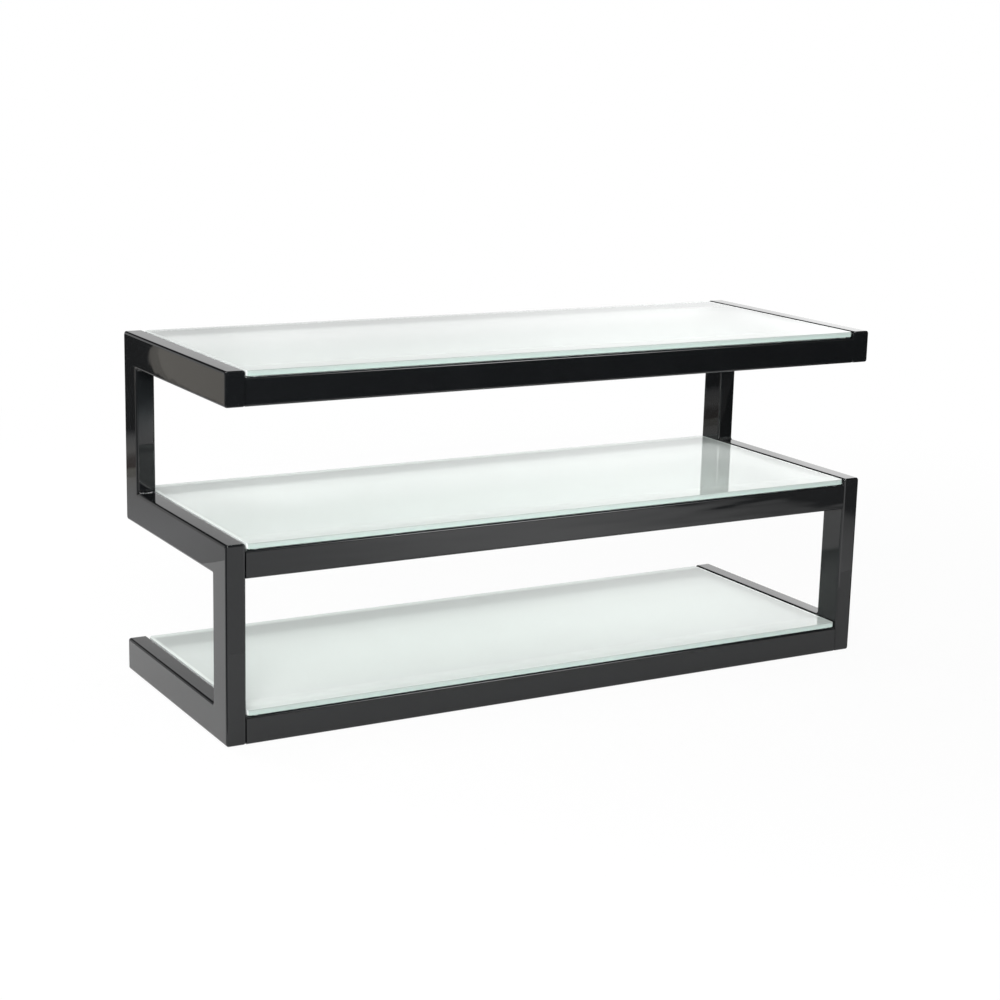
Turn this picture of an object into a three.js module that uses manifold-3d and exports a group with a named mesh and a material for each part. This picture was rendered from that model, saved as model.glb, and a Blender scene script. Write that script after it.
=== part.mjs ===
// Three-tier audio equipment rack. Two S-shaped side frames are welded from rectangular steel tube, six
// cross rails are screwed between them, and three glass shelves lie on small round bumpers on the rails.
// Millimetres, +Z up, X along the shelves, -Y to the front. The origin is on the floor under the middle.

import * as THREE from 'three';
import { mergeVertices } from 'three/addons/utils/BufferGeometryUtils.js';
import Module from 'manifold-3d';

// Whole rack
const rackWidth = 1100;
const rackDepth = 400;
const shelfPitch = 240; // from one arm to the arm above it

// Rectangular tube of the side frames
const tubeHeight = 50; // in the plane of the frame
const tubeWidth = 30; // along X
const tubeWall = 2;
const tubeEdgeRadius = 3;
const mitreGap = 0.3; // left between two mitred tubes, where the weld joins them
const endPlateThickness = 3;
const weldLeg = 5; // a bead in an inner corner
const weldHollow = 1; // how far the bead's face is drawn in

// Cross rails
const railHeight = 40;
const railDepth = 30; // along Y
const railWall = 2;
const railEdgeRadius = 3;
const railEndThickness = 3; // the plate welded into each end of a rail
const keySlotLength = 34; // the opening through which a key reaches the screw
const keySlotHeight = 16;
const keySlotInset = 5; // from the end plate to the slot

// Socket screws that hold the rails
const screwDiameter = 6;
const screwLength = 12; // under the head
const screwHeadDiameter = 10;
const screwHeadHeight = 6;
const screwKeyWidth = 5; // across the flats of the hexagon socket
const screwKeyDepth = 3;
const screwClearance = 0.6; // a hole is wider than the screw by this
const collarDiameter = 9.6; // the drawn collar inside the frame tube that the screw threads into
const collarLength = 4;

// Glass shelves
const glassThickness = 8;
const glassSideGap = 2; // to the inner face of each side frame
const glassFrontInset = 0.5;
const glassRearInset = 2.5;
const glassCornerRadius = 4;
const glassArris = 0.8; // the bevel ground along every edge

// Bumpers under the glass
const bumperDiameter = 12;
const bumperThickness = 1.5;
const bumperEdge = 0.4; // bevel round the top
const bumperSideInset = 14; // from the side edge of the glass to the bumper's centre
const bumperRailInset = 9.5; // from the outer face of the rail to the bumper's centre

// Glides under the bottom arms
const glideDiameter = 22;
const glideThickness = 2;
const glideEdge = 0.6; // bevel round the foot
const glideEndInset = 40; // from the end of the arm to the glide's centre

// Shares of other sizes
const boreEdgeShare = 1 / 3; // the radius of a tube's inner edges, of the radius of its outer ones

// Smoothness of curved faces, in steps to a full turn
const edgeSteps = 16;
const turnSteps = 16;

// How far a cutting solid passes the face that it cuts
const cutOverrun = 1;

// Names of what repeats, and which way each side and end lies from the middle
const tierNames = ['bottom', 'middle', 'top'];
const sides = [
  { name: 'left', sign: -1 },
  { name: 'right', sign: 1 },
];
const ends = [
  { name: 'front', sign: -1 },
  { name: 'rear', sign: 1 },
];

// Places that follow from the sizes
const frontY = -rackDepth / 2;
const rearY = rackDepth / 2;
const innerFrontY = frontY + tubeHeight;
const innerRearY = rearY - tubeHeight;
const railMiddleY = rackDepth / 2 - railDepth / 2;
const frameInnerX = rackWidth / 2 - tubeWidth;
const frameMiddleX = rackWidth / 2 - tubeWidth / 2;
const railLength = 2 * frameInnerX;
const armBottoms = tierNames.map((_, tier) => glideThickness + tier * shelfPitch);
const [bottomZ, middleZ, topZ] = armBottoms;

// Materials
const lacquer = (roughness) =>
  new THREE.MeshStandardMaterial({ color: 0x101113, roughness, metalness: 0.1 });
const tubeLacquer = lacquer(0.12);
const railLacquer = lacquer(0.16);
const weldLacquer = lacquer(0.22);
const zincedSteel = new THREE.MeshStandardMaterial({ color: 0x9a9a96, roughness: 0.38, metalness: 0.9 });
const shelfGlass = new THREE.MeshStandardMaterial({
  color: 0xdfece6,
  roughness: 0.08,
  metalness: 0,
  transparent: true,
  opacity: 0.8,
});
const clearRubber = new THREE.MeshStandardMaterial({ color: 0xe6efea, roughness: 0.35, metalness: 0 });
const blackPlastic = new THREE.MeshStandardMaterial({ color: 0x1a1a1a, roughness: 0.6, metalness: 0 });

// Solids for joining and cutting, and the geometry they give back
const wasm = await Module();
wasm.setup();

function toSolid(geometry) {
  const bare = geometry.clone();
  bare.deleteAttribute('normal');
  bare.deleteAttribute('uv');
  const merged = mergeVertices(bare);
  const mesh = new wasm.Mesh({
    numProp: 3,
    vertProperties: new Float32Array(merged.getAttribute('position').array),
    triVerts: new Uint32Array(merged.index.array),
  });
  return new wasm.Manifold(mesh);
}

function toGeometry(solid) {
  const mesh = solid.getMesh();
  const geometry = new THREE.BufferGeometry();
  geometry.setAttribute('position', new THREE.BufferAttribute(mesh.vertProperties, mesh.numProp));
  geometry.setIndex(new THREE.BufferAttribute(mesh.triVerts, 1));
  const faceted = geometry.toNonIndexed();
  faceted.computeVertexNormals();
  return faceted;
}

// Turns that lay a flat shape across the rack's X, Y or Z, so that it is drawn out along that axis
const axisX = new THREE.Vector3(1, 0, 0);
const axisY = new THREE.Vector3(0, 1, 0);
const axisZ = new THREE.Vector3(0, 0, 1);
const alongX = new THREE.Matrix4().makeBasis(axisY, axisZ, axisX);
const alongY = new THREE.Matrix4().makeBasis(axisX.clone().negate(), axisZ, axisY);
const alongZ = new THREE.Matrix4();

// A turn that stands a round piece, made about the Y axis, up along Z
const upright = new THREE.Matrix4().makeBasis(axisX, axisZ, axisY.clone().negate());

function roundedRectangle(width, height, radius, path = new THREE.Shape()) {
  const right = width / 2 - radius;
  const up = height / 2 - radius;
  path.absarc(right, up, radius, 0, Math.PI / 2);
  path.absarc(-right, up, radius, Math.PI / 2, Math.PI);
  path.absarc(-right, -up, radius, Math.PI, 1.5 * Math.PI);
  path.absarc(right, -up, radius, 1.5 * Math.PI, 2 * Math.PI);
  return path;
}

// three.js cuts an arc into twice as many steps as its curveSegments
function drawnOut(shape, length, turn, start, arcSteps = edgeSteps / 4) {
  const geometry = new THREE.ExtrudeGeometry(shape, {
    depth: length,
    bevelEnabled: false,
    curveSegments: arcSteps / 2,
  });
  return geometry.applyMatrix4(turn).translate(start.x, start.y, start.z);
}

// A closed profile of [radius, height] points, turned about its axis and set down at a place
function turned(profile, turn, place) {
  const points = profile.map(([radius, height]) => new THREE.Vector2(radius, height));
  const geometry = new THREE.LatheGeometry(points, turnSteps);
  return geometry.applyMatrix4(turn).translate(place.x, place.y, place.z);
}

function roundBar(diameter, startX, length, place) {
  const circle = new THREE.Shape().absarc(0, 0, diameter / 2, 0, 2 * Math.PI);
  const start = new THREE.Vector3(startX, place.y, place.z);
  return toSolid(drawnOut(circle, length, alongX, start, turnSteps));
}

const rack = new THREE.Group();

function addPiece(name, geometry, material) {
  const mesh = new THREE.Mesh(geometry, material);
  mesh.name = name;
  rack.add(mesh);
}

// Each rail's screws pass into the side frames here, half way up the arm and half way through the rail
const screwPlaces = armBottoms.flatMap((armBottom) =>
  ends.map((end) => ({ y: end.sign * railMiddleY, z: armBottom + tubeHeight / 2 })),
);

// The tubes of a side frame, each with its outline in the frame's plane as [y, z] points
const mitreSetback = mitreGap * Math.SQRT1_2;
const frameTubes = {
  top_arm: {
    turn: alongY,
    outline: [
      [frontY + endPlateThickness, topZ],
      [innerRearY - mitreSetback, topZ],
      [rearY - mitreSetback, topZ + tubeHeight],
      [frontY + endPlateThickness, topZ + tubeHeight],
    ],
  },
  rear_upright: {
    turn: alongZ,
    outline: [
      [innerRearY, middleZ + tubeHeight + mitreSetback],
      [rearY, middleZ + mitreSetback],
      [rearY, topZ + tubeHeight - mitreSetback],
      [innerRearY, topZ - mitreSetback],
    ],
  },
  middle_arm: {
    turn: alongY,
    outline: [
      [innerFrontY + mitreSetback, middleZ],
      [rearY - mitreSetback, middleZ],
      [innerRearY - mitreSetback, middleZ + tubeHeight],
      [frontY + mitreSetback, middleZ + tubeHeight],
    ],
  },
  front_upright: {
    turn: alongZ,
    outline: [
      [frontY, bottomZ + mitreSetback],
      [innerFrontY, bottomZ + tubeHeight + mitreSetback],
      [innerFrontY, middleZ - mitreSetback],
      [frontY, middleZ + tubeHeight - mitreSetback],
    ],
  },
  bottom_arm: {
    turn: alongY,
    outline: [
      [frontY + mitreSetback, bottomZ],
      [rearY - endPlateThickness, bottomZ],
      [rearY - endPlateThickness, bottomZ + tubeHeight],
      [innerFrontY + mitreSetback, bottomZ + tubeHeight],
    ],
  },
};

// A square-ended tube that spans an outline, before its ends are mitred
function straightTube({ turn, outline }, middleX) {
  const section = roundedRectangle(tubeWidth, tubeHeight, tubeEdgeRadius);
  const boreWidth = tubeWidth - 2 * tubeWall;
  const boreHeight = tubeHeight - 2 * tubeWall;
  const boreRadius = tubeEdgeRadius * boreEdgeShare;
  section.holes.push(roundedRectangle(boreWidth, boreHeight, boreRadius, new THREE.Path()));
  const ys = outline.map(([y]) => y);
  const zs = outline.map(([, z]) => z);
  const low = new THREE.Vector3(middleX, Math.min(...ys), Math.min(...zs));
  const high = new THREE.Vector3(middleX, Math.max(...ys), Math.max(...zs));
  if (turn === alongY) {
    const start = new THREE.Vector3(middleX, low.y, (low.z + high.z) / 2);
    return toSolid(drawnOut(section, high.y - low.y, turn, start));
  }
  const start = new THREE.Vector3(middleX, (low.y + high.y) / 2, low.z);
  return toSolid(drawnOut(section, high.z - low.z, turn, start));
}

function outlineCutter({ outline }, middleX) {
  const shape = new THREE.Shape(outline.map(([y, z]) => new THREE.Vector2(y, z)));
  const start = new THREE.Vector3(middleX - tubeWidth / 2 - cutOverrun, 0, 0);
  return toSolid(drawnOut(shape, tubeWidth + 2 * cutOverrun, alongX, start));
}

// The inner wall is drawn into a collar round each screw hole, and the hole runs through both
function collarsAndHoles(side) {
  const depth = tubeWall + collarLength;
  const startX = side.sign > 0 ? frameInnerX : -frameInnerX - depth;
  const holeDiameter = screwDiameter + screwClearance;
  const holeDepth = depth + 2 * cutOverrun;
  return {
    collars: screwPlaces.map((place) => roundBar(collarDiameter, startX, depth, place)),
    holes: screwPlaces.map((place) => roundBar(holeDiameter, startX - cutOverrun, holeDepth, place)),
  };
}

function addSideFrame(side) {
  const middleX = side.sign * frameMiddleX;
  const { collars, holes } = collarsAndHoles(side);
  for (const [name, tube] of Object.entries(frameTubes)) {
    const joined = collars.reduce((solid, collar) => solid.add(collar), straightTube(tube, middleX));
    const mitred = joined.intersect(outlineCutter(tube, middleX));
    const drilled = holes.reduce((solid, hole) => solid.subtract(hole), mitred);
    addPiece(`${side.name}_${name}`, toGeometry(drilled), tubeLacquer);
  }
}

function addEndPlates(side) {
  const plates = {
    top_arm_end_plate: [frontY, topZ],
    bottom_arm_end_plate: [rearY - endPlateThickness, bottomZ],
  };
  for (const [name, [y, z]] of Object.entries(plates)) {
    const plate = roundedRectangle(tubeWidth, tubeHeight, tubeEdgeRadius);
    const start = new THREE.Vector3(side.sign * frameMiddleX, y, z + tubeHeight / 2);
    addPiece(`${side.name}_${name}`, drawnOut(plate, endPlateThickness, alongY, start), tubeLacquer);
  }
}

// Weld beads: each lies in an inner corner, with one leg along Y and the other along Z
const weldCorners = {
  top_rear_weld: { y: innerRearY, z: topZ, ySign: -1, zSign: -1 },
  middle_rear_weld: { y: innerRearY, z: middleZ + tubeHeight, ySign: -1, zSign: 1 },
  middle_front_weld: { y: innerFrontY, z: middleZ, ySign: 1, zSign: -1 },
  bottom_front_weld: { y: innerFrontY, z: bottomZ + tubeHeight, ySign: 1, zSign: 1 },
};

function addWelds(side) {
  const length = tubeWidth - 2 * tubeEdgeRadius;
  const face = weldLeg / 2 - weldHollow * Math.SQRT1_2;
  for (const [name, { y, z, ySign, zSign }] of Object.entries(weldCorners)) {
    const bead = new THREE.Shape();
    bead.moveTo(y, z);
    bead.lineTo(y + ySign * weldLeg, z);
    bead.lineTo(y + ySign * face, z + zSign * face);
    bead.lineTo(y, z + zSign * weldLeg);
    const start = new THREE.Vector3(side.sign * frameMiddleX - length / 2, 0, 0);
    addPiece(`${side.name}_${name}`, drawnOut(bead, length, alongX, start), weldLacquer);
  }
}

// A rail is a tube with a plate welded into each end, and a key slot near each end in its hidden inner side
function railSolid(end, railBottom, place) {
  const outside = roundedRectangle(railDepth, railHeight, railEdgeRadius);
  const boreDepth = railDepth - 2 * railWall;
  const boreHeight = railHeight - 2 * railWall;
  const inside = roundedRectangle(boreDepth, boreHeight, railEdgeRadius * boreEdgeShare);
  const start = new THREE.Vector3(-railLength / 2, place.y, railBottom + railHeight / 2);
  const boreStart = start.clone().setX(start.x + railEndThickness);
  const holeLength = railLength + 2 * cutOverrun;
  const slotCut = railWall + 2 * cutOverrun;
  const slotWallY = place.y - end.sign * (railDepth / 2 - railWall / 2);
  const slots = sides.map((side) => {
    const slot = roundedRectangle(keySlotLength, keySlotHeight, keySlotHeight / 2);
    const slotX = side.sign * (railLength / 2 - railEndThickness - keySlotInset - keySlotLength / 2);
    const slotStart = new THREE.Vector3(slotX, slotWallY - slotCut / 2, place.z);
    return toSolid(drawnOut(slot, slotCut, alongY, slotStart));
  });
  const hollow = toSolid(drawnOut(outside, railLength, alongX, start))
    .subtract(toSolid(drawnOut(inside, railLength - 2 * railEndThickness, alongX, boreStart)))
    .subtract(roundBar(screwDiameter + screwClearance, -holeLength / 2, holeLength, place));
  return slots.reduce((solid, slot) => solid.subtract(slot), hollow);
}

// A socket screw: its head bears on the rail's end plate, and its shank points into the side frame
function screwSolid(side, place) {
  const shank = screwDiameter / 2;
  const head = screwHeadDiameter / 2;
  const profile = [
    [0, -screwHeadHeight],
    [head, -screwHeadHeight],
    [head, 0],
    [shank, 0],
    [shank, screwLength],
    [0, screwLength],
  ];
  const outwards = new THREE.Matrix4().makeBasis(
    axisY,
    axisX.clone().multiplyScalar(side.sign),
    axisZ.clone().multiplyScalar(-side.sign),
  );
  const bearing = new THREE.Vector3(side.sign * (frameInnerX - railEndThickness), place.y, place.z);
  const socketRadius = screwKeyWidth / Math.sqrt(3);
  const socket = new THREE.CylinderGeometry(socketRadius, socketRadius, screwKeyDepth + cutOverrun, 6);
  socket.translate(0, (screwKeyDepth - cutOverrun) / 2 - screwHeadHeight, 0);
  socket.applyMatrix4(outwards).translate(bearing.x, bearing.y, bearing.z);
  return toSolid(turned(profile, outwards, bearing)).subtract(toSolid(socket));
}

function addRails(tier) {
  const screwZ = armBottoms[tier] + tubeHeight / 2;
  for (const end of ends) {
    const name = `${tierNames[tier]}_${end.name}_rail`;
    const place = { y: end.sign * railMiddleY, z: screwZ };
    addPiece(name, toGeometry(railSolid(end, armBottoms[tier], place)), railLacquer);
    for (const side of sides) {
      addPiece(`${name}_${side.name}_screw`, toGeometry(screwSolid(side, place)), zincedSteel);
    }
  }
}

// Glass shelves and the bumpers that they lie on
const glassWidth = railLength - 2 * glassSideGap;
const glassDepth = rackDepth - glassFrontInset - glassRearInset;

function addGlass(tier) {
  const glass = new THREE.ExtrudeGeometry(roundedRectangle(glassWidth, glassDepth, glassCornerRadius), {
    depth: glassThickness - 2 * glassArris,
    bevelThickness: glassArris,
    bevelSize: glassArris,
    bevelOffset: -glassArris,
    bevelSegments: 1,
    curveSegments: edgeSteps / 8,
  });
  const underside = armBottoms[tier] + railHeight + bumperThickness;
  glass.translate(0, (glassFrontInset - glassRearInset) / 2, underside + glassArris);
  addPiece(`${tierNames[tier]}_glass_shelf`, glass, shelfGlass);
}

function addBumpers(tier) {
  const radius = bumperDiameter / 2;
  const profile = [
    [0, 0],
    [radius, 0],
    [radius, bumperThickness - bumperEdge],
    [radius - bumperEdge, bumperThickness],
    [0, bumperThickness],
  ];
  for (const end of ends) {
    for (const side of sides) {
      const x = side.sign * (glassWidth / 2 - bumperSideInset);
      const y = end.sign * (rackDepth / 2 - bumperRailInset);
      const place = new THREE.Vector3(x, y, armBottoms[tier] + railHeight);
      const name = `${tierNames[tier]}_shelf_${end.name}_${side.name}_bumper`;
      addPiece(name, turned(profile, upright, place), clearRubber);
    }
  }
}

// Glides under the ends of the bottom arms
function addGlides(side) {
  const radius = glideDiameter / 2;
  const profile = [
    [0, 0],
    [radius - glideEdge, 0],
    [radius, glideEdge],
    [radius, glideThickness],
    [0, glideThickness],
  ];
  for (const end of ends) {
    const y = end.sign * (rackDepth / 2 - glideEndInset);
    const place = new THREE.Vector3(side.sign * frameMiddleX, y, 0);
    addPiece(`${end.name}_${side.name}_glide`, turned(profile, upright, place), blackPlastic);
  }
}

for (const side of sides) {
  addSideFrame(side);
  addEndPlates(side);
  addWelds(side);
  addGlides(side);
}
for (const tier of armBottoms.keys()) {
  addRails(tier);
  addGlass(tier);
  addBumpers(tier);
}

export default rack;
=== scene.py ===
import math

import bmesh
import bpy
from mathutils import Matrix, Vector


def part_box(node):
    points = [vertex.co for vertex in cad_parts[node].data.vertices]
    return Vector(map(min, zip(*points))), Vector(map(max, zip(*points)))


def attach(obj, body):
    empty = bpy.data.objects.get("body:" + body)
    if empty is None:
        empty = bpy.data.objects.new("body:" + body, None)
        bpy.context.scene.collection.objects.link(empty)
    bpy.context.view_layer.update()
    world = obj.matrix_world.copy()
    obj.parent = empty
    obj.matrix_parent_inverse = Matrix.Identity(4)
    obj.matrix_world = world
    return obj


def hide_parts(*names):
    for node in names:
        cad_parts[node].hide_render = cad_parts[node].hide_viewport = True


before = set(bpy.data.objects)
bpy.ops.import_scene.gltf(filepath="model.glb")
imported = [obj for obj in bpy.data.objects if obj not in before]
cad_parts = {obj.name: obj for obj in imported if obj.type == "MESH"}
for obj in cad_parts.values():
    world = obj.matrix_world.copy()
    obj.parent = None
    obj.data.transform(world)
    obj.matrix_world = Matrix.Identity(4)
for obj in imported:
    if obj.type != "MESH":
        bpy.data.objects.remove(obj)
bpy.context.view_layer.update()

# Camera, solved from the photograph: place in metres, turns in degrees, lens in millimetres
CAMERA_PLACE = (-1.5685, -2.7140, 0.9841)
CAMERA_YAW = 29.927  # to the right of +Y
CAMERA_PITCH = -12.955
CAMERA_ROLL = 1.436
CAMERA_LENS = 73.41
SENSOR_WIDTH = 36.0
CLIP_START = 0.05
CLIP_END = 200.0

# Bodies, sides and the parts that repeat
FRAME_BODY = "frame"
SIDES = {"left": -1, "right": 1}
ENDS = ("front", "rear")
TIERS = ("bottom", "middle", "top")
WELDS = {  # the way each bead spreads from its corner, along y and z
    "top_rear_weld": (-1, -1),
    "middle_rear_weld": (-1, 1),
    "middle_front_weld": (1, -1),
    "bottom_front_weld": (1, 1),
}

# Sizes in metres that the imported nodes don't say by themselves
TUBE_EDGE = 0.004
TUBE_CORNER = 0.003  # the ground outer corner where two tubes meet
PLATE_EDGE = 0.002
RAIL_EDGE = 0.003
RAIL_WALL = 0.002
RAIL_END = 0.003
RAIL_END_EDGE = 0.0004
BORE_EDGE = RAIL_EDGE - RAIL_WALL
BORE_END_EDGE = BORE_EDGE / 4
KEY_SLOT = (0.034, 0.016)  # length, height
KEY_SLOT_INSET = 0.005
KEY_SLOT_ROUND = KEY_SLOT[1] / 2 - 0.00001  # just under a half circle, so that no two points coincide
KEY_SLOT_CUT = 3 * RAIL_WALL
SCREW_HOLE_RADIUS = 0.0033
SCREW_HOLE_ROUND = 0.999 * SCREW_HOLE_RADIUS
SCREW_HOLE_REACH = 1.01  # how far out the hole is cut, as a share of the rail's half length
SCREW_HEAD_HEIGHT = 0.006
SCREW_SHANK_RADIUS = 0.0029
SCREW_EDGE = 0.0006
SCREW_SEGMENTS = 42
SOCKET_RADIUS = 0.0029
SOCKET_EDGE = 0.0004
SOCKET_DEPTH = 0.003
SOCKET_POINT = 0.0038  # the depth of the drill's point under the socket
DISC_FOOT_EDGE = 0.0002
BUMPER_EDGE = 0.0007
GLIDE_EDGE = 0.0009
DISC_STEPS = 5
GLASS_ARRIS = 0.0008
GLASS_BEVEL = ((1.0, 0.0), (0.66, 0.14), (0.14, 0.66), (0.0, 1.0))  # inset and rise, in arrises
GLASS_CORNER = 0.006
GLASS_CORNER_STEPS = 8
LEVEL_FACE = 0.99  # how far up or down the normal of a level face points
EDGE_FACES = 1  # a pane's second material, after the one of its top
FROST_FACES = 2

# Weld beads
WELD_RIPPLE = 0.0026  # from one ripple of a bead to the next
WELD_DRIFT = 0.8  # how far the ripples wander from even spacing, in radians
WELD_DRIFT_RATE = 900  # how fast they wander, in radians to a metre
WELD_RIPPLE_HEIGHT = 0.0006
WELD_SUNK = 0.0006
WELD_END_SIZE = 0.82  # as shares of the bead's leg
WELD_MIDDLE_GAIN = 0.12
WELD_RIPPLE_GAIN = 0.06
WELD_RUN_OUT = 8  # each end runs out over one part in so many of the length
WELD_HOLLOW = 0.31  # how far the middle of the bead's face is drawn in, as a share of its reach
WELD_CURVE = 1.2  # the power that hollows the face further
WELD_COLUMNS = 72
WELD_ROWS = 8

# Angles in degrees above which a fold stays sharp
FOLD = 35.0
ROUND_PIECE_FOLD = 30.0
GLASS_FOLD = 50.0
WELD_FOLD = 60.0

# Looks: noise in cells to a metre, relief in metres, colours in linear light
BLACK = (0.0, 0.0, 0.0)
WHITE = (1.0, 1.0, 1.0)
EVEN = (1.0, 1.0, 1.0)  # a noise that isn't stretched
NOISE_SPAN = (0.35, 0.65)  # most of a noise's values lie in it
FULL_SPAN = (0.0, 1.0)
LACQUER_BLACKS = ((0.0042, 0.0047, 0.0052), (0.0066, 0.0072, 0.0078))
LACQUER_HAZE = 14.0
LACQUER_HAZE_GAIN = 1.8  # how much rougher the haze makes the film
LACQUER_PEEL = 620.0
GLOSS_IOR = 1.5
# the milky body, and its darker tone for the random cloud and for the painted shade
TOP_COLOURS = ((0.89, 0.945, 0.915), (0.79, 0.85, 0.82))
TOP_CLOUD = 6.0
TOP_CLOUD_SHADE = 0.2
# how far the painted shade at the rear and front borders goes towards the darker colour
TOP_PAINTED_SHADE = 0.8
TOP_TRANSMISSION = (0.08, 0.45)
TOP_WAVE = 12.0
TOP_WAVE_RELIEF = 0.00003
FRONT_BORDER = (-0.18, -0.155)  # where the glass begins to let light through, in y, and where the painted shade along the front border ends
REAR_BORDER = (0.178, 0.19)  # where it stops again
REAR_PAINTED_SHADE = (0.075, 0.14)  # where painted shade darkens the glass towards the rear rail under it
END_BORDER = (0.512, 0.5155)  # where less goes through towards both ends, in x
# the greenish edge, painted lighter low down and with painted shade higher up
EDGE_LIT_AND_SHADED_COLOURS = ((0.50, 0.62, 0.575), (0.46, 0.52, 0.495))
EDGE_UPPER_HALF = (0.3, 0.95)  # where the painted shade comes in towards the top, in shares of the thickness
# share of black in the painted shade at the left end
EDGE_PAINTED_SHADE = 0.24
EDGE_PAINTED_SHADE_SPAN = (-0.5, 0.1)  # from the left end, darkest with painted shade, to where the painted shade is gone, in x
EDGE_TURN = (0.5158, 0.5172)  # where the front edge turns into the end edge, in x
# painted highlight: the end edges whitened as if glinting
EDGE_END_PAINTED_HIGHLIGHT = (0.93, 0.97, 0.955)
EDGE_TRANSMISSION = 0.1
EDGE_WAVE = 90.0
EDGE_WAVE_RELIEF = 0.00001
FROST_COLOURS = ((0.955, 0.98, 0.97), (0.975, 0.99, 0.985))
FROST_GRAIN = 1900.0
FROST_RELIEF = 0.00002
FROST_CLOUD = 7.0
FROST_ROUGHNESS = (0.75, 0.95)
FROST_IOR = 1.2

# Studio: a fade is where it starts, where it stops, mostly in metres, and its value before and after
ROOM_RADIUS = 5.0
DARK_ROOM = 0.04
FLOOR_SIZE = 80.0
FLOOR_GRAIN = 40.0
FLOOR_PAPERS = ((0.94, 0.94, 0.94), (0.96, 0.96, 0.96))
FLOOR_IN_GLOSS = (0.2, 1.9, 0.34, 1.0)  # by the distance from the middle
FLOOR_TO_CAMERA = (0.5, 2.4, 0.94, 1.0)
SKY_LIGHT = (0.0, 0.6, 1.65, 0.18)  # by the height above the horizon, from 0 to 1 at the zenith
WALL_REAR_HALF = (-1.0, 1.5, 0.0, 1.0)
WALL_RIGHT_REAR = (1.3, 1.6, 0.78, 0.95)
WALL_FAR_RIGHT_REAR = (1.8, 3.2, 0.0, 0.43)
WALL_FAR_RIGHT = (3.25, 3.42, 1.0, 1.2)
WALL_LEFT = (-3.5, -1.5, 0.3, 1.0)
WALL_FRONT = (-4.0, -1.5, 0.25, 1.0)
WALL_UPPER = (1.3, 1.65, 1.0, 0.72)
WALL_TOP = (1.72, 1.98, 1.0, 0.0)
FRONT_SHEET = ((-5, -7), (5, -7), (5, -0.6), (-5, -0.6))  # its corners in x and y, as for those below
FRONT_MIDDLE = 0.45
FRONT_OFF_MIDDLE = (0.0, 0.6, 1.55, 0.92)
FRONT_EDGE_SLOPE = -0.55
FRONT_EDGE = (1.4, 1.8, 1.0, 0.62)
FRONT_EDGE_STEP = (1.66, 1.77, 1.0, 0.28)
FRONT_NEAR = (-2.3, -1.5, 0.0, 1.0)
FRONT_NEAR_STRENGTH = (0.0, 1.0, 0.1, 1.0)  # by the value of FRONT_NEAR
FRONT_NEAR_COLOUR = (0.85, 1.0, 1.05)
REAR_SHEET = ((-7, 0.75), (3, 0.75), (3, 7), (-7, 7))
REAR_SPAN = (0.7, 2.3)
REAR_TONES = (  # distance behind the middle, colour
    (0.7, (0.62, 0.62, 0.62)),
    (1.0, (0.66, 0.66, 0.67)),
    (1.34, (0.55, 0.55, 0.55)),
    (1.50, (0.50, 0.49, 0.47)),
    (1.52, (0.36, 0.35, 0.32)),
    (1.59, (0.38, 0.37, 0.33)),
    (1.61, (0.16, 0.13, 0.12)),
    (1.70, (0.18, 0.16, 0.15)),
    (1.78, (0.36, 0.35, 0.34)),
    (1.92, (0.28, 0.28, 0.28)),
    (2.02, (0.04, 0.04, 0.04)),
)
CORNER_SLOPE = 0.375
CORNER_BEND_MIDDLE = 3.1
CORNER_BEND = 0.28
CORNER_EDGE = (-0.482, -0.478, 1.0, 0.0)
CORNER_EDGE_STEP = (-0.508, -0.503, 1.0, 0.7)
CORNER_NEAR = (1.9, 2.2, 0.0, 1.0)
CORNER_COLOUR = (0.58, 0.55, 0.50)
LEFT_FLAG = ((-0.58, -0.23), (-3.2, 0.47), (-3.2, -3.1))
RIGHT_FLAG = ((0.6, -0.22), (2.6, -2.45), (3.5, 1.0), (2.1, 2.38))
FLAG_TONE = (-0.1, 0.1, 0.12, DARK_ROOM)  # from the left flag to the right one
SHEET_HEIGHT = 0.002
FLAG_HEIGHT = 0.004
SOFT_BOX = ((0.9, -3), (3.0, -3))  # the two ends of its foot
SOFT_BOX_HEIGHTS = (1.4, 4.6)
SOFT_BOX_LEFT = (1.0, 1.7, 0.0, 13.0)
SOFT_BOX_RIGHT = (2.1, 2.9, 1.0, 0.0)
SOFT_BOX_LOW = (1.5, 2.0, 0.0, 1.0)
SOFT_BOX_HIGH = (3.6, 4.5, 1.0, 0.0)
LEFT_SOFT_BOX = ((-2.86, -0.69), (-0.34, -3.2))
LEFT_SOFT_BOX_HEIGHTS = (0.9, 1.45)
LEFT_SOFT_BOX_STRENGTH = 16.0
SECOND_BOUNCE = 1.5  # from the second glossy bounce on, a ray's count of them is above it
LAMP_FACE_SIZE = 0.9
LAMP_FACE_STRENGTH = 70.0
LAMPS = {  # place, target, size, watts
    "key": ((-1.4, -1.6, 2.6), (0, 0, 0.3), (1.2, 0.9), 4.0),
    "fill": ((0.3, -0.4, 2.5), (0, 0, 0.3), (1.2, 1.2), 1.5),
    "front_strip": ((-1.3, -2.0, 1.15), (-0.2, 0, 0.25), (1.6, 0.8), 54.0),
    "rear_strip": ((-1.1, 2.0, 1.15), (-0.2, 0, 0.25), (1.6, 0.8), 36.0),
}


def make_camera():
    data = bpy.data.cameras.new("camera")
    data.lens = CAMERA_LENS
    data.sensor_width = SENSOR_WIDTH
    data.clip_start = CLIP_START
    data.clip_end = CLIP_END
    camera = bpy.data.objects.new("camera", data)
    turn = Matrix.Rotation(math.radians(-CAMERA_YAW), 4, "Z")
    tilt = Matrix.Rotation(math.radians(90 + CAMERA_PITCH), 4, "X")
    roll = Matrix.Rotation(math.radians(CAMERA_ROLL), 4, "Z")
    camera.matrix_world = Matrix.Translation(CAMERA_PLACE) @ turn @ tilt @ roll
    bpy.context.scene.collection.objects.link(camera)
    bpy.context.scene.camera = camera


make_camera()


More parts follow.
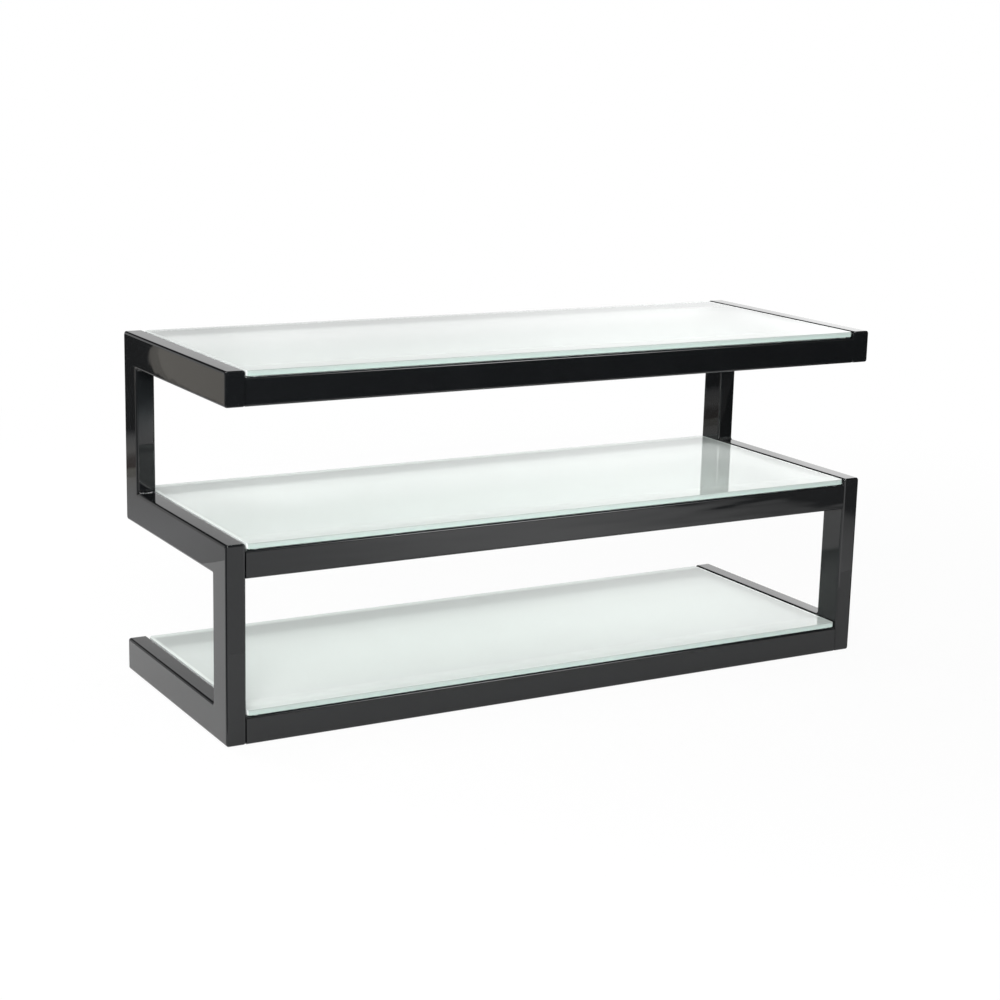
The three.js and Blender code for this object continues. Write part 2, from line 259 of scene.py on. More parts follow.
# Node trees
class Tree:
    """The nodes of a material or of the world, added one at a time and linked by name or number."""

    def __init__(self, name=None, world=None):
        self.owner = world or bpy.data.materials.new(name)
        self.owner.use_nodes = True
        self.nodes = self.owner.node_tree.nodes
        self.links = self.owner.node_tree.links
        self.nodes.clear()
        self.output = self.nodes.new("ShaderNodeOutput" + ("World" if world else "Material"))

    def add(self, kind, values=None, **settings):
        node = self.nodes.new("ShaderNode" + kind)
        for key, value in settings.items():
            setattr(node, key, value)
        for key, value in (values or {}).items():
            if isinstance(value, bpy.types.NodeSocket):
                self.links.new(value, node.inputs[key])
            else:
                node.inputs[key].default_value = value
        return node

    def place(self):
        """The place in the part's frame, as outputs X, Y and Z."""
        return self.add("SeparateXYZ", {0: self.add("TexCoord").outputs["Object"]}).outputs

    def noise(self, scale, detail=2.0, roughness=0.5, stretch=EVEN):
        """A noise in the part's frame, so that it runs on from piece to piece."""
        place = self.add("TexCoord").outputs["Object"]
        if stretch != EVEN:
            shares = tuple(1 / share for share in stretch)
            place = self.add("Mapping", {"Vector": place, "Scale": shares}).outputs["Vector"]
        values = {"Vector": place, "Scale": scale, "Detail": detail, "Roughness": roughness}
        return self.add("TexNoise", values).outputs["Fac"]

    def calc(self, operation, *numbers, clamp=False):
        return self.add("Math", dict(enumerate(numbers)), operation=operation, use_clamp=clamp).outputs[0]

    def product(self, *factors):
        result = factors[0]
        for factor in factors[1:]:
            result = self.calc("MULTIPLY", result, factor)
        return result

    def total(self, first, second):
        return self.calc("ADD", first, second)

    def between(self, factor, low, high, span=NOISE_SPAN):
        """A number from low to high as the factor crosses the span."""
        values = {"Value": factor, "From Min": span[0], "From Max": span[1], "To Min": low, "To Max": high}
        return self.add("MapRange", values).outputs["Result"]

    def fade(self, value, start, stop, low, high):
        """A number that eases from low at start to high at stop."""
        values = {"Value": value, "From Min": start, "From Max": stop, "To Min": low, "To Max": high}
        return self.add("MapRange", values, interpolation_type="SMOOTHSTEP").outputs["Result"]

    def mixed(self, factor, first, second):
        """A colour between two, each of them a socket or three numbers."""
        values = {"Factor": factor, "A": first, "B": second}
        for key in "AB":
            if not isinstance(values[key], bpy.types.NodeSocket):
                values[key] = (*values[key], 1.0)
        return self.add("Mix", values, data_type="RGBA").outputs["Result"]

    def bump(self, height, distance, below=None):
        """A relief, on top of the one below if there is one."""
        values = {"Height": height, "Distance": distance}
        if below:
            values["Normal"] = below
        return self.add("Bump", values).outputs["Normal"]

    def surface(self, shader):
        self.links.new(shader.outputs[0], self.output.inputs["Surface"])
        return self.owner


# Materials
def lacquer(name, roughness, peel, wave=0.00006, wave_cells=22.0, stretch=EVEN):
    """Gloss black on steel: long waves in the wall, an orange peel in the film, a haze of handling."""
    tree = Tree(name)
    haze = tree.noise(LACQUER_HAZE, detail=3.0)
    film = tree.bump(tree.noise(LACQUER_PEEL, detail=1.0), peel)
    values = {
        "Base Color": tree.mixed(haze, *LACQUER_BLACKS),
        "Roughness": tree.between(haze, roughness, roughness * LACQUER_HAZE_GAIN),
        "IOR": GLOSS_IOR,
        "Normal": tree.bump(tree.noise(wave_cells, detail=1.0, stretch=stretch), wave, film),
    }
    return tree.surface(tree.add("BsdfPrincipled", values))


def milky_glass(name):
    """A polished top over a milky body, less clear towards its borders, with painted shade over the rear
    rail and along the front border.
    """
    tree = Tree(name)
    place = tree.place()
    x, y = place["X"], place["Y"]
    cloud = tree.product(tree.noise(TOP_CLOUD, detail=3.0), TOP_CLOUD_SHADE)
    # painted shade: the milky body darkened towards the rear rail under it
    shade = tree.total(cloud, tree.between(y, 0.0, TOP_PAINTED_SHADE, REAR_PAINTED_SHADE))
    # painted shade: the front border darkened
    shade = tree.total(shade, tree.between(y, TOP_PAINTED_SHADE, 0.0, FRONT_BORDER))
    inside = tree.product(
        tree.between(y, 0.0, 1.0, FRONT_BORDER),
        tree.between(tree.calc("ABSOLUTE", x), 1.0, 0.0, END_BORDER),
        tree.between(y, 1.0, 0.0, REAR_BORDER),
    )
    values = {
        "Base Color": tree.mixed(shade, *TOP_COLOURS),
        "Roughness": 0.0,
        "IOR": GLOSS_IOR,
        "Transmission Weight": tree.between(inside, *TOP_TRANSMISSION, FULL_SPAN),
        "Normal": tree.bump(tree.noise(TOP_WAVE, detail=0.0), TOP_WAVE_RELIEF),
    }
    return tree.surface(tree.add("BsdfPrincipled", values))


def edge_glass(name):
    """A ground and polished edge, greenish, with painted shade upwards and towards the left end, and a
    painted highlight that whitens the end edges.
    """
    tree = Tree(name)
    x = tree.place()["X"]
    height = tree.add("SeparateXYZ", {0: tree.add("TexCoord").outputs["Generated"]}).outputs["Z"]
    # painted light and shade: the edge lighter below and darker above
    colour = tree.mixed(tree.between(height, 0.0, 1.0, EDGE_UPPER_HALF), *EDGE_LIT_AND_SHADED_COLOURS)
    # painted shade: the edge darkened towards its left end
    colour = tree.mixed(tree.between(x, EDGE_PAINTED_SHADE, 0.0, EDGE_PAINTED_SHADE_SPAN), colour, BLACK)
    # painted highlight on the end edges
    at_end = tree.between(tree.calc("ABSOLUTE", x), 0.0, 1.0, EDGE_TURN)
    values = {
        "Base Color": tree.mixed(at_end, colour, EDGE_END_PAINTED_HIGHLIGHT),
        "Roughness": 0.0,
        "IOR": GLOSS_IOR,
        "Transmission Weight": EDGE_TRANSMISSION,
        "Normal": tree.bump(tree.noise(EDGE_WAVE, detail=1.0), EDGE_WAVE_RELIEF),
    }
    return tree.surface(tree.add("BsdfPrincipled", values))


def frosted_glass(name):
    """The etched underside, which blurs what lies under it."""
    tree = Tree(name)
    grain = tree.noise(FROST_GRAIN)
    values = {
        "Base Color": tree.mixed(tree.noise(FROST_CLOUD, detail=3.0), *FROST_COLOURS),
        "Roughness": tree.between(grain, *FROST_ROUGHNESS),
        "IOR": FROST_IOR,
        "Transmission Weight": 1.0,
        "Normal": tree.bump(grain, FROST_RELIEF),
    }
    return tree.surface(tree.add("BsdfPrincipled", values))


def grained(name, noise, relief, colours, roughness, more):
    """A material whose colour, roughness and relief follow one noise."""
    tree = Tree(name)
    grain = tree.noise(*noise)
    values = {
        "Base Color": tree.mixed(grain, *colours),
        "Roughness": tree.between(grain, *roughness),
        "Normal": tree.bump(grain, relief),
        **more,
    }
    return tree.surface(tree.add("BsdfPrincipled", values))


FRAME_LACQUER = lacquer("frame_lacquer", roughness=0.012, peel=0.000001)
RAIL_LACQUER = lacquer(
    "rail_lacquer",
    roughness=0.03,
    peel=0.0000015,
    wave=0.0005,
    wave_cells=55.0,
    stretch=(9.0, 1.0, 1.0),
)
WELD_LACQUER = lacquer("weld_lacquer", roughness=0.05, peel=0.000012)
GLASS_TOP = milky_glass("glass_top")
GLASS_EDGE = edge_glass("glass_edge")
GLASS_FROST = frosted_glass("glass_frost")
BUMPER = grained(
    "bumper_rubber",
    noise=(260.0,),
    relief=0.00003,
    colours=((0.80, 0.90, 0.87), (0.88, 0.95, 0.92)),
    roughness=(0.16, 0.3),
    more={"IOR": 1.48, "Transmission Weight": 0.45},
)
ZINC = grained(
    "screw_zinc",
    noise=(900.0, 3.0, 0.6),
    relief=0.00003,
    colours=((0.42, 0.43, 0.43), (0.58, 0.58, 0.56)),
    roughness=(0.28, 0.46),
    more={"Metallic": 1.0},
)
PLASTIC = grained(
    "glide_plastic",
    noise=(1800.0,),
    relief=0.00006,
    colours=((0.012, 0.012, 0.013), (0.022, 0.022, 0.023)),
    roughness=(0.45, 0.62),
    more={},
)


# Mesh building
def quarter_round(edge, steps):
    """Steps round an edge from a side to an end, each as the inset from the side and from the end."""
    turns = [math.pi / 2 * step / steps for step in range(steps + 1)]
    return [(edge * (1 - math.cos(turn)), edge * (1 - math.sin(turn))) for turn in turns]


def rounded_rectangle(width, height, radius, steps=6):
    """Points of a rectangle with round corners, anticlockwise, about its middle."""
    points = []
    for quarter in range(4):
        right = width / 2 - radius if quarter in (0, 3) else radius - width / 2
        up = height / 2 - radius if quarter in (0, 1) else radius - height / 2
        for step in range(steps + 1):
            angle = math.pi / 2 * (quarter + step / steps)
            points.append((right + radius * math.cos(angle), up + radius * math.sin(angle)))
    return points


def skin(name, rings, material, body, fold=FOLD):
    """A closed mesh over rings of points, each ring with as many points, with a flat face at both ends."""
    bm = bmesh.new()
    loops = [[bm.verts.new(point) for point in ring] for ring in rings]
    count = len(loops[0])
    for first, second in zip(loops, loops[1:]):
        for index in range(count):
            following = (index + 1) % count
            bm.faces.new((first[index], first[following], second[following], second[index]))
    bm.faces.new(list(reversed(loops[0])))
    bm.faces.new(loops[-1])
    return piece_from(bm, name, material, body, fold)


def piece_from(bm, name, material, body, fold):
    bmesh.ops.recalc_face_normals(bm, faces=bm.faces)
    mesh = bpy.data.meshes.new(name)
    bm.to_mesh(mesh)
    bm.free()
    mesh.materials.append(material)
    piece = bpy.data.objects.new(name, mesh)
    bpy.context.scene.collection.objects.link(piece)
    soften(mesh, fold)
    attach(piece, body)
    return piece


def soften(mesh, fold):
    mesh.polygons.foreach_set("use_smooth", [True] * len(mesh.polygons))
    mesh.set_sharp_from_angle(angle=math.radians(fold))


def keep_flats_flat(piece):
    """Small round edges take the bend of the shading, and large flat faces stay flat."""
    modifier = piece.modifiers.new("weighted", "WEIGHTED_NORMAL")
    modifier.keep_sharp = True
    modifier.weight = 100


def cut(piece, cutter):
    """Cuts one mesh out of another and keeps the result in the piece."""
    modifier = piece.modifiers.new("cut", "BOOLEAN")
    modifier.operation = "DIFFERENCE"
    modifier.solver = "EXACT"
    modifier.object = cutter
    graph = bpy.context.evaluated_depsgraph_get()
    mesh = bpy.data.meshes.new_from_object(piece.evaluated_get(graph))
    piece.modifiers.remove(modifier)
    old = piece.data
    piece.data = mesh
    bpy.data.meshes.remove(old)
    bpy.data.objects.remove(cutter)
    soften(mesh, FOLD)


def centre(low, high):
    return (low.x + high.x) / 2, (low.y + high.y) / 2, (low.z + high.z) / 2


# Side frames: one tube section carried round the S in the frame's own plane
def corner_arc(before, after, radius, steps=5):
    """Offsets from a corner that round it off, from the way in to the way out."""
    middle = (after - before) * radius
    offsets = []
    for step in range(steps + 1):
        angle = math.pi / 2 * step / steps
        offsets.append(middle - after * radius * math.cos(angle) + before * radius * math.sin(angle))
    return offsets


def frame_path(side, half):
    """Corners of the tube's middle line, as (y, z), from the top arm's front to the bottom arm's rear."""
    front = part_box(f"{side}_front_upright")[0].y
    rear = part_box(f"{side}_rear_upright")[1].y
    heights = {}
    for tier in TIERS:
        heights[tier] = centre(*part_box(f"{side}_{tier}_arm"))[2]
    corners = [
        (front, heights["top"]),
        (rear - half, heights["top"]),
        (rear - half, heights["middle"]),
        (front + half, heights["middle"]),
        (front + half, heights["bottom"]),
        (rear, heights["bottom"]),
    ]
    return [Vector(corner) for corner in corners]


def make_side_frame(side):
    low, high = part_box(f"{side}_middle_arm")
    half = (high.z - low.z) / 2
    width = high.x - low.x
    middle_x = centre(low, high)[0]
    corners = frame_path(side, half)
    ways = [(b - a).normalized() for a, b in zip(corners, corners[1:])]
    normals = [Vector((-way.y, way.x)) for way in ways]

    def ring(place, normal, inset=0.0):
        points = []
        for across, out in rounded_rectangle(width - 2 * inset, 2 * half - 2 * inset, TUBE_EDGE - inset):
            spot = place + normal * out
            points.append((middle_x + across, spot.x, spot.y))
        return points

    def free_end(place, outwards, normal):
        """Rings that round off an end plate, from the tube outwards."""
        edge = quarter_round(PLATE_EDGE, steps=3)
        return [ring(place - outwards * back, normal, inset) for inset, back in edge]

    rings = list(reversed(free_end(corners[0], -ways[0], normals[0])))
    for index in range(1, len(corners) - 1):
        mitre = normals[index - 1] + normals[index]
        for offset in corner_arc(ways[index - 1], ways[index], TUBE_CORNER):
            rings.append(ring(corners[index] + offset, mitre))
    rings += free_end(corners[-1], ways[-1], normals[-1])
    piece = skin(f"{side}_side_frame", rings, FRAME_LACQUER, FRAME_BODY)
    keep_flats_flat(piece)
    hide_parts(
        *(f"{side}_{tier}_arm" for tier in TIERS),
        *(f"{side}_{end}_upright" for end in ENDS),
        f"{side}_top_arm_end_plate",
        f"{side}_bottom_arm_end_plate",
    )


# Weld beads: a hollow fillet with the ripples of a hand-laid weld, lying in an inner corner
def make_weld(side, name):
    low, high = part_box(f"{side}_{name}")
    along_y, along_z = WELDS[name]
    corner_y = high.y if along_y < 0 else low.y
    corner_z = high.z if along_z < 0 else low.z
    leg = high.y - low.y
    rings = []
    for column in range(WELD_COLUMNS + 1):
        share = column / WELD_COLUMNS
        x = low.x + (high.x - low.x) * share
        run = min(1.0, WELD_RUN_OUT * share, WELD_RUN_OUT * (1 - share))
        drift = WELD_DRIFT * math.sin(x * WELD_DRIFT_RATE)
        ripple = 0.5 + 0.5 * math.cos(2 * math.pi * x / WELD_RIPPLE + drift)
        size = leg * (WELD_END_SIZE + WELD_MIDDLE_GAIN * run + WELD_RIPPLE_GAIN * ripple * run)
        outline = []
        for row in range(WELD_ROWS + 1):
            angle = math.pi / 2 * row / WELD_ROWS
            bulge = math.sin(2 * angle)
            reach = size * (1 - WELD_HOLLOW * bulge)
            lift = WELD_RIPPLE_HEIGHT * ripple * bulge
            y = reach * math.cos(angle) ** WELD_CURVE + lift
            z = reach * math.sin(angle) ** WELD_CURVE + lift
            outline.append((y, z))
        outline += [(-WELD_SUNK, size), (-WELD_SUNK, -WELD_SUNK), (size, -WELD_SUNK)]
        rings.append([(x, corner_y + along_y * y, corner_z + along_z * z) for y, z in outline])
    piece = skin(f"{side}_{name}_bead", rings, WELD_LACQUER, FRAME_BODY, WELD_FOLD)
    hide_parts(f"{side}_{name}")


# Cross rails: a tube with closed ends, a key slot near each end in its inner side, and a screw hole
def bar_along_x(name, start, stop, middle, size, radius, edge):
    """A rounded bar from start to stop along X, with its end edges rounded."""
    rings = []
    for end, sign in ((start, -1), (stop, 1)):
        ends = []
        for inset, back in quarter_round(edge, steps=2):
            profile = rounded_rectangle(size[0] - 2 * inset, size[1] - 2 * inset, radius - inset)
            ends.append([(end - sign * back, middle[0] + y, middle[1] + z) for y, z in profile])
        rings += ends if sign > 0 else list(reversed(ends))
    return skin(name, rings, RAIL_LACQUER, FRAME_BODY)


def slot_cutter(middle_x, y, z):
    rings = []
    for end in (y - KEY_SLOT_CUT / 2, y + KEY_SLOT_CUT / 2):
        profile = rounded_rectangle(*KEY_SLOT, KEY_SLOT_ROUND)
        rings.append([(middle_x + across, end, z + up) for across, up in profile])
    return skin("cutter", rings, RAIL_LACQUER, FRAME_BODY)


def hole_cutter(start, stop, middle_y, middle_z):
    rings = []
    for x in (start, stop):
        profile = rounded_rectangle(2 * SCREW_HOLE_RADIUS, 2 * SCREW_HOLE_RADIUS, SCREW_HOLE_ROUND)
        rings.append([(x, middle_y + y, middle_z + z) for y, z in profile])
    return skin("cutter", rings, RAIL_LACQUER, FRAME_BODY)


def make_rail(tier, end):
    node = f"{tier}_{end}_rail"
    low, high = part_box(node)
    middle = centre(low, high)[1:]
    screw_z = centre(*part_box(f"{node}_left_screw"))[2]
    size = (high.y - low.y, high.z - low.z)
    piece = bar_along_x(f"{node}_tube", low.x, high.x, middle, size, RAIL_EDGE, RAIL_END_EDGE)
    bore = (size[0] - 2 * RAIL_WALL, size[1] - 2 * RAIL_WALL)
    start, stop = low.x + RAIL_END, high.x - RAIL_END
    cut(piece, bar_along_x("cutter", start, stop, middle, bore, BORE_EDGE, BORE_END_EDGE))
    inner_y = low.y if end == "rear" else high.y
    reach = (high.x - low.x) / 2 - RAIL_END - KEY_SLOT_INSET - KEY_SLOT[0] / 2
    for sign in SIDES.values():
        cut(piece, slot_cutter(sign * reach, inner_y, screw_z))
    cut(piece, hole_cutter(low.x * SCREW_HOLE_REACH, high.x * SCREW_HOLE_REACH, middle[0], screw_z))
    keep_flats_flat(piece)
    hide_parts(node)


# Round pieces
def lathe(name, profile, place, axis, material, segments=40):
    """A profile of (radius, height) points turned about an axis, on which its first and last points lie."""
    bm = bmesh.new()
    turn = Vector((0, 0, 1)).rotation_difference(Vector(axis)).to_matrix()
    rows = []
    for radius, height in profile:
        if radius == 0:
            rows.append([bm.verts.new(Vector(place) + turn @ Vector((0, 0, height)))])
            continue
        row = []
        for segment in range(segments):
            angle = 2 * math.pi * segment / segments
            spot = Vector((radius * math.cos(angle), radius * math.sin(angle), height))
            row.append(bm.verts.new(Vector(place) + turn @ spot))
        rows.append(row)
    for first, second in zip(rows, rows[1:]):
        for segment in range(segments):
            following = (segment + 1) % segments
            a = [first[segment % len(first)], first[following % len(first)]]
            b = [second[following % len(second)], second[segment % len(second)]]
            corners = list(dict.fromkeys(a + b))
            if len(corners) > 2:
                bm.faces.new(corners)
    return piece_from(bm, name, material, FRAME_BODY, ROUND_PIECE_FOLD)


def round_edge(radius, height, edge, steps):
    """Profile points round a disc's upper edge, from its side to its top."""
    return [(radius - inset, height - back) for inset, back in quarter_round(edge, steps)]


def disc(radius, height, edge):
    """The profile of a disc with a rounded upper edge, standing on a smaller edge."""
    foot = [(0, 0), (radius - DISC_FOOT_EDGE, 0), (radius, DISC_FOOT_EDGE)]
    return foot + round_edge(radius, height, edge, DISC_STEPS) + [(0, height)]


def make_screw(node):
    """A cap screw, with heights along its shank from the bearing face under the head."""
    low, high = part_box(node)
    side = 1 if low.x > 0 else -1
    y, z = centre(low, high)[1:]
    radius = (high.z - low.z) / 2
    length = high.x - low.x - SCREW_HEAD_HEIGHT
    bearing = (side * (max(abs(low.x), abs(high.x)) - length), y, z)
    head = round_edge(radius, SCREW_HEAD_HEIGHT, SCREW_EDGE, steps=4)
    profile = [
        (0, length),
        (SCREW_SHANK_RADIUS - SCREW_EDGE, length),
        (SCREW_SHANK_RADIUS, length - SCREW_EDGE),
        (SCREW_SHANK_RADIUS, 0),
        (radius - SCREW_EDGE / 2, 0),
        (radius, -SCREW_EDGE / 2),
        *((across, -height) for across, height in head),
        (SOCKET_RADIUS + SOCKET_EDGE, -SCREW_HEAD_HEIGHT),
        (SOCKET_RADIUS, -SCREW_HEAD_HEIGHT + SOCKET_EDGE),
        (SOCKET_RADIUS, -SCREW_HEAD_HEIGHT + SOCKET_DEPTH),
        (0, -SCREW_HEAD_HEIGHT + SOCKET_POINT),
    ]
    piece = lathe(f"{node}_detail", profile, bearing, (side, 0, 0), ZINC, SCREW_SEGMENTS)
    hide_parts(node)


def make_bumper(node):
    low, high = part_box(node)
    x, y = centre(low, high)[:2]
    profile = disc((high.x - low.x) / 2, high.z - low.z, BUMPER_EDGE)
    piece = lathe(f"{node}_dome", profile, (x, y, low.z), (0, 0, 1), BUMPER)
    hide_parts(node)


def make_glide(node):
    low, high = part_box(node)
    x, y = centre(low, high)[:2]
    profile = disc((high.x - low.x) / 2, high.z - low.z, GLIDE_EDGE)
    piece = lathe(f"{node}_foot", profile, (x, y, high.z), (0, 0, -1), PLASTIC)
    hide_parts(node)


# Glass shelves: polished top, frosted underside, and a polished edge with a small bevel above and below
def make_glass(tier):
    node = f"{tier}_glass_shelf"
    low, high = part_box(node)
    middle = (low + high) / 2
    width, depth, thickness = high - low
    levels = [(inset, rise * GLASS_ARRIS) for inset, rise in GLASS_BEVEL]
    levels += [(inset, thickness - rise * GLASS_ARRIS) for inset, rise in reversed(GLASS_BEVEL)]
    rings = []
    for share, rise in levels:
        inset = share * GLASS_ARRIS
        size = (width - 2 * inset, depth - 2 * inset)
        outline = rounded_rectangle(*size, GLASS_CORNER - inset, GLASS_CORNER_STEPS)
        rings.append([(middle.x + x, middle.y + y, low.z + rise) for x, y in outline])
    piece = skin(f"{tier}_glass_pane", rings, GLASS_TOP, f"{tier}_shelf", GLASS_FOLD)
    piece.data.materials.append(GLASS_EDGE)
    piece.data.materials.append(GLASS_FROST)
    for face in piece.data.polygons:
        if face.normal.z < -LEVEL_FACE:
            face.material_index = FROST_FACES
        elif face.normal.z < LEVEL_FACE:
            face.material_index = EDGE_FACES
    keep_flats_flat(piece)
    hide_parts(node)


for side_name in SIDES:
    make_side_frame(side_name)
    for weld_name in WELDS:
        make_weld(side_name, weld_name)
for tier_name in TIERS:
    for end_name in ENDS:
        make_rail(tier_name, end_name)
        for side_name in SIDES:
            make_screw(f"{tier_name}_{end_name}_rail_{side_name}_screw")
            make_bumper(f"{tier_name}_shelf_{end_name}_{side_name}_bumper")
    make_glass(tier_name)
for end_name in ENDS:
    for side_name in SIDES:
        make_glide(f"{end_name}_{side_name}_glide")


# Studio: a pale floor that runs out into white, soft lamps, and what gloss sees of the room
def slanted(tree, along, slope, across):
    """A number that is the same along a slanting line on the floor."""
    return tree.calc("MULTIPLY_ADD", along, slope, across)


def seen_directly(tree):
    """1 for a ray from the camera, off gloss or through glass, and 0 for light that falls on a surface."""
    path = tree.add("LightPath").outputs
    seen = tree.total(path["Is Camera Ray"], path["Is Glossy Ray"])
    return tree.calc("ADD", seen, path["Is Transmission Ray"], clamp=True)


def make_floor():
    bpy.ops.mesh.primitive_plane_add(size=FLOOR_SIZE, location=(0, 0, 0))
    floor = bpy.context.object
    floor.name = "floor"
    tree = Tree("floor_paper")
    place = tree.add("TexCoord").outputs["Object"]
    distance = tree.add("VectorMath", {0: place}, operation="LENGTH").outputs["Value"]
    in_gloss = tree.fade(distance, *FLOOR_IN_GLOSS)
    to_camera = tree.fade(distance, *FLOOR_TO_CAMERA)
    camera_ray = tree.add("LightPath").outputs["Is Camera Ray"]
    white = tree.product(seen_directly(tree), tree.between(camera_ray, in_gloss, to_camera, FULL_SPAN))
    grain = tree.noise(FLOOR_GRAIN, detail=4.0)
    paper = tree.add("BsdfDiffuse", {"Color": tree.mixed(grain, *FLOOR_PAPERS)})
    glow = tree.add("Emission", {"Color": (*WHITE, 1.0), "Strength": 1.0})
    shader = tree.add("MixShader", {0: white, 1: paper.outputs[0], 2: glow.outputs[0]})
    floor.data.materials.append(tree.surface(shader))


def make_world():
    """White to the eye. As a light, brightest near the horizon, so that it reaches in under the shelves."""
    world = bpy.data.worlds.new("world")
    bpy.context.scene.world = world
    tree = Tree(world=world)
    height = tree.add("SeparateXYZ", {0: tree.add("TexCoord").outputs["Generated"]}).outputs["Z"]
    light = tree.add("Background", {"Color": (*WHITE, 1.0), "Strength": tree.fade(height, *SKY_LIGHT)})
    white = tree.add("Background", {"Color": (*WHITE, 1.0), "Strength": 1.0})
    values = {0: seen_directly(tree), 1: light.outputs[0], 2: white.outputs[0]}
    tree.surface(tree.add("MixShader", values))


# The room, which only gloss sees. Each tone builds the nodes for the glow of one card
def wall_tone(tree, place):
    """A white wall that is brightest at the right rear and ends in the dark room above."""
    x, y, z = place["X"], place["Y"], place["Z"]
    right_rear = tree.product(x, tree.fade(y, *WALL_REAR_HALF))
    lit = tree.product(
        tree.total(tree.fade(right_rear, *WALL_RIGHT_REAR), tree.fade(right_rear, *WALL_FAR_RIGHT_REAR)),
        tree.fade(x, *WALL_FAR_RIGHT),
        tree.fade(x, *WALL_LEFT),
        tree.fade(y, *WALL_FRONT),
        tree.product(tree.fade(z, *WALL_UPPER), tree.fade(z, *WALL_TOP)),
    )
    return {"Strength": tree.total(lit, DARK_ROOM)}


def front_tone(tree, place):
    """The pale sheet in front, brightest right of its middle and darker at its right and near ends."""
    x, y = place["X"], place["Y"]
    off_middle = tree.calc("ABSOLUTE", tree.calc("SUBTRACT", x, FRONT_MIDDLE))
    across = slanted(tree, y, FRONT_EDGE_SLOPE, x)
    near = tree.fade(y, *FRONT_NEAR)
    strength = tree.product(
        tree.fade(off_middle, *FRONT_OFF_MIDDLE),
        tree.product(tree.fade(across, *FRONT_EDGE), tree.fade(across, *FRONT_EDGE_STEP)),
        tree.fade(near, *FRONT_NEAR_STRENGTH),
    )
    return {"Color": tree.mixed(near, FRONT_NEAR_COLOUR, WHITE), "Strength": strength}


def rear_tone(tree, place):
    """The sheet behind falls off into the dark in steps. Something paler lies far to the left."""
    x, y = place["X"], place["Y"]
    start, stop = REAR_SPAN
    ramp = tree.add("ValToRGB", {"Fac": tree.between(y, 0.0, 1.0, REAR_SPAN)})
    elements = ramp.color_ramp.elements
    elements.remove(elements[1])
    elements[0].color = (*REAR_TONES[0][1], 1.0)
    for at, colour in REAR_TONES[1:]:
        elements.new((at - start) / (stop - start)).color = (*colour, 1.0)
    off_middle = tree.calc("SUBTRACT", y, CORNER_BEND_MIDDLE)
    bend = tree.product(off_middle, off_middle, CORNER_BEND)
    across = tree.total(slanted(tree, y, CORNER_SLOPE, x), bend)
    corner = tree.product(
        tree.fade(across, *CORNER_EDGE),
        tree.fade(across, *CORNER_EDGE_STEP),
        tree.fade(y, *CORNER_NEAR),
    )
    return {"Color": tree.mixed(corner, ramp.outputs["Color"], CORNER_COLOUR), "Strength": 1.0}


def flag_tone(tree, place):
    return {"Strength": tree.fade(place["X"], *FLAG_TONE)}


def soft_box_tone(tree, place):
    """A soft box high up in front, which draws the light line along the rails' upper edges."""
    x, z = place["X"], place["Z"]
    strength = tree.product(
        tree.fade(x, *SOFT_BOX_LEFT),
        tree.fade(x, *SOFT_BOX_RIGHT),
        tree.fade(z, *SOFT_BOX_LOW),
        tree.fade(z, *SOFT_BOX_HIGH),
    )
    return {"Strength": strength}


def left_box_tone(tree, place):
    """A soft box at the front left, seen from the second bounce on: a line on the mirrored upright."""
    bounces = tree.add("LightPath").outputs["Glossy Depth"]
    shows = tree.calc("GREATER_THAN", bounces, SECOND_BOUNCE)
    return {"Strength": tree.product(shows, LEFT_SOFT_BOX_STRENGTH)}


def lamp_tone(tree, place):
    return {"Strength": LAMP_FACE_STRENGTH}


def finish_card(card, tone):
    tree = Tree(card.name)
    glow = tree.add("Emission", {"Color": (*WHITE, 1.0), **tone(tree, tree.place())})
    card.data.materials.append(tree.surface(glow))
    tree.owner.cycles.emission_sampling = "NONE"
    for kind in ("camera", "diffuse", "transmission", "volume_scatter", "shadow"):
        setattr(card, "visible_" + kind, False)


def make_card(name, corners, tone):
    mesh = bpy.data.meshes.new(name)
    mesh.from_pydata(corners, [], [tuple(range(len(corners)))])
    card = bpy.data.objects.new(name, mesh)
    bpy.context.scene.collection.objects.link(card)
    finish_card(card, tone)


def lying(corners, height):
    return [(x, y, height) for x, y in corners]


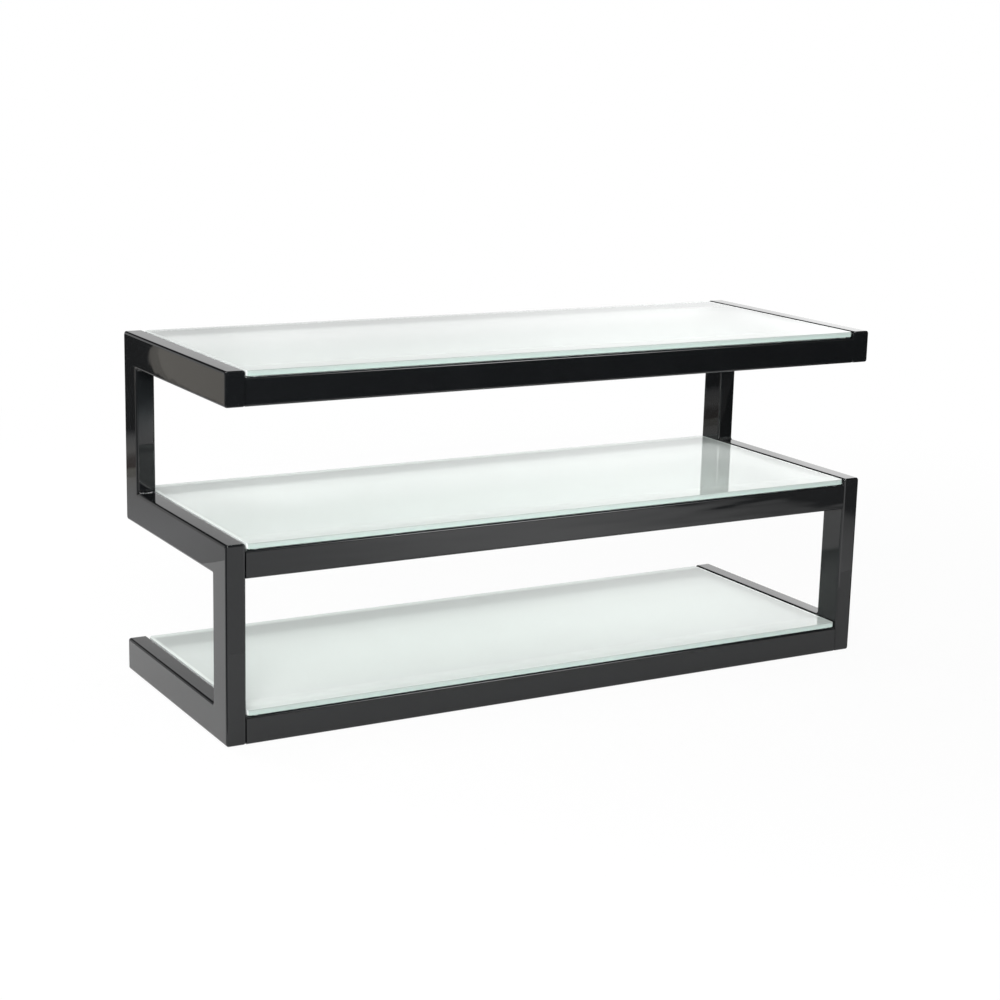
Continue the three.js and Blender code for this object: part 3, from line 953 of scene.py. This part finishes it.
def standing(ends, heights):
    (start, stop), (low, high) = ends, heights
    return [(*start, low), (*stop, low), (*stop, high), (*start, high)]


def make_room():
    bm = bmesh.new()
    bmesh.ops.create_uvsphere(bm, u_segments=64, v_segments=32, radius=ROOM_RADIUS)
    mesh = bpy.data.meshes.new("wall")
    bm.to_mesh(mesh)
    bm.free()
    wall = bpy.data.objects.new("wall", mesh)
    bpy.context.scene.collection.objects.link(wall)
    finish_card(wall, wall_tone)
    make_card("front_sheet", lying(FRONT_SHEET, SHEET_HEIGHT), front_tone)
    make_card("rear_sheet", lying(REAR_SHEET, SHEET_HEIGHT), rear_tone)
    make_card("left_flag", lying(LEFT_FLAG, FLAG_HEIGHT), flag_tone)
    make_card("right_flag", lying(RIGHT_FLAG, FLAG_HEIGHT), flag_tone)
    make_card("soft_box", standing(SOFT_BOX, SOFT_BOX_HEIGHTS), soft_box_tone)
    make_card("left_soft_box", standing(LEFT_SOFT_BOX, LEFT_SOFT_BOX_HEIGHTS), left_box_tone)


def make_lamp(name, place, target, size, watts):
    data = bpy.data.lights.new(name, "AREA")
    data.shape = "RECTANGLE"
    data.size, data.size_y = size
    data.energy = watts
    lamp = bpy.data.objects.new(name, data)
    way = Vector(target) - Vector(place)
    lamp.matrix_world = Matrix.Translation(place) @ way.to_track_quat("-Z", "Y").to_matrix().to_4x4()
    lamp.visible_camera = False
    lamp.visible_glossy = False
    bpy.context.scene.collection.objects.link(lamp)
    return lamp


def make_lamp_face(lamp, size):
    """The lamp's bright middle as gloss sees it, which gives the small glints on corners and welds."""
    corners = [(-size, -size), (size, -size), (size, size), (-size, size)]
    face = [lamp.matrix_world @ Vector((x / 2, y / 2, 0)) for x, y in corners]
    make_card(lamp.name + "_face", face, lamp_tone)


make_floor()
make_world()
make_room()
lamps = {name: make_lamp(name, *LAMPS[name]) for name in LAMPS}
bpy.context.view_layer.update()
make_lamp_face(lamps["key"], LAMP_FACE_SIZE)

bpy.context.scene.view_settings.view_transform = "Standard"
